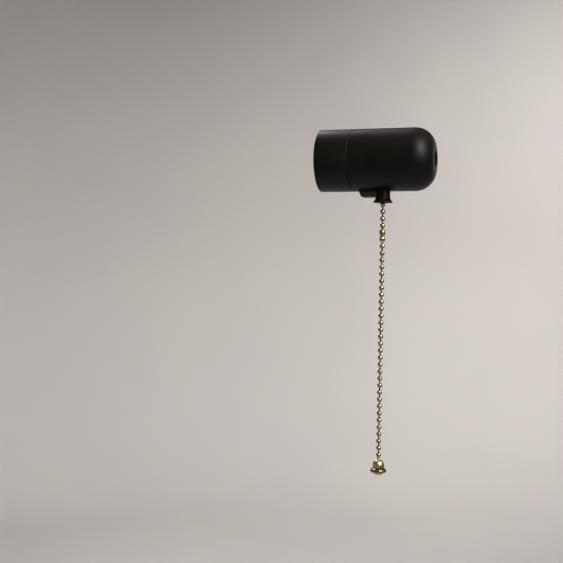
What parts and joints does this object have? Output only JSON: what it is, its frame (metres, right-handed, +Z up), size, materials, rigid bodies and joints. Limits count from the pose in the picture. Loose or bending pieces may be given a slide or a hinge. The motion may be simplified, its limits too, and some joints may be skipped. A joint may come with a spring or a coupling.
{
  "type": "pull chain lampholder switch",
  "caption": "Black moulded E27 lampholder with a built-in pull switch: flared chain guide, ball chain with connector and bell-shaped pull, ratchet mechanism inside.",
  "frame": {"origin": "centre of the threaded entry, on the flat end face of the rear body", "axes": "+X out of the threaded entry along the housing's axis, with the lamp mouth facing -X; +Z up, with the chain hanging along -Z; +Y towards the wall behind the lamp"},
  "size_m": [0.0705, 0.038, 0.2094],
  "materials": {
    "black_phenolic": "moulded black phenolic, semi-gloss",
    "brown_phenolic": "dark brown moulded phenolic, semi-gloss",
    "inner_phenolic": "brown moulded phenolic, satin",
    "brass": "plain stamped brass",
    "chain_brass": "polished antique brass with dark joints",
    "shell_metal": "rolled sheet, satin",
    "zinc_steel": "zinc-plated steel",
    "spring_steel": "bare spring steel"
  },
  "bodies": {
    "housing": {"front_shell": "black_phenolic", "rear_body": "black_phenolic", "entry_bushing": "brass", "chain_guide": "brown_phenolic", "guide_nut": "brass", "insulator_core": "inner_phenolic", "screw_shell": "shell_metal", "plunger_spring": "spring_steel", "mechanism_frame": "inner_phenolic", "mechanism_screw_a": "zinc_steel", "mechanism_screw_b": "zinc_steel", "centre_feed_strip": "brass", "live_contact_strip": "brass", "shell_strap": "brass", "terminal_block_a": "brass", "terminal_block_b": "brass", "terminal_screw_a": "zinc_steel", "terminal_screw_b": "zinc_steel", "lever_axle": "zinc_steel", "axle_clip": "spring_steel", "return_spring": "spring_steel", "detent_spring": "spring_steel", "detent_rivet": "zinc_steel"},
    "pull_chain": {"chain_anchor": "chain_brass", "chain_inner": "chain_brass"},
    "hanging_chain": {"chain_upper": "chain_brass", "chain_connector": "chain_brass", "chain_lower": "chain_brass", "bell_pull": "chain_brass"},
    "pull_lever": {"pull_lever": "zinc_steel", "pawl_pin": "zinc_steel"},
    "drive_pawl": {"drive_pawl": "spring_steel"},
    "ratchet_rotor": {"ratchet_rotor": "inner_phenolic", "rotor_contact": "brass"},
    "centre_plunger": {"centre_plunger": "brass"}
  },
  "joints": [
    {"name": "chain_pull", "type": "slide", "parent": "housing", "child": "pull_chain", "axis": [0, 0, -1], "range_m": [0, 0.0095], "stiffness_N_per_m": 400, "springref_m": -0.005},
    {"name": "chain_swing", "type": "hinge", "parent": "pull_chain", "child": "hanging_chain", "pos_m": [-0.0315, 0, -0.0258], "axis": [1, 0, 0], "range_deg": [-20, 20]},
    {"name": "lever_swing", "type": "hinge", "parent": "housing", "child": "pull_lever", "pos_m": [-0.01996, 0, 0.001], "axis": [0, -1, 0], "range_deg": [0, 45.5], "deforming": ["return_spring"]},
    {"name": "pawl_click", "type": "hinge", "parent": "pull_lever", "child": "drive_pawl", "pos_m": [-0.02753, 0, 0.00414], "axis": [0, 1, 0], "range_deg": [0, 12], "stiffness_Nm_per_rad": 0.003},
    {"name": "ratchet_turn", "type": "hinge", "parent": "housing", "child": "ratchet_rotor", "pos_m": [-0.01996, 0, 0.001], "axis": [0, -1, 0], "continuous": true},
    {"name": "centre_contact", "type": "slide", "parent": "housing", "child": "centre_plunger", "axis": [1, 0, 0], "range_m": [0, 0.002], "stiffness_N_per_m": 1500, "springref_m": -0.001, "deforming": ["plunger_spring"]}
  ],
  "couplings": [
    {"joint": "lever_swing", "follows": "chain_pull", "rad_per_m": 82.67}
  ]
}
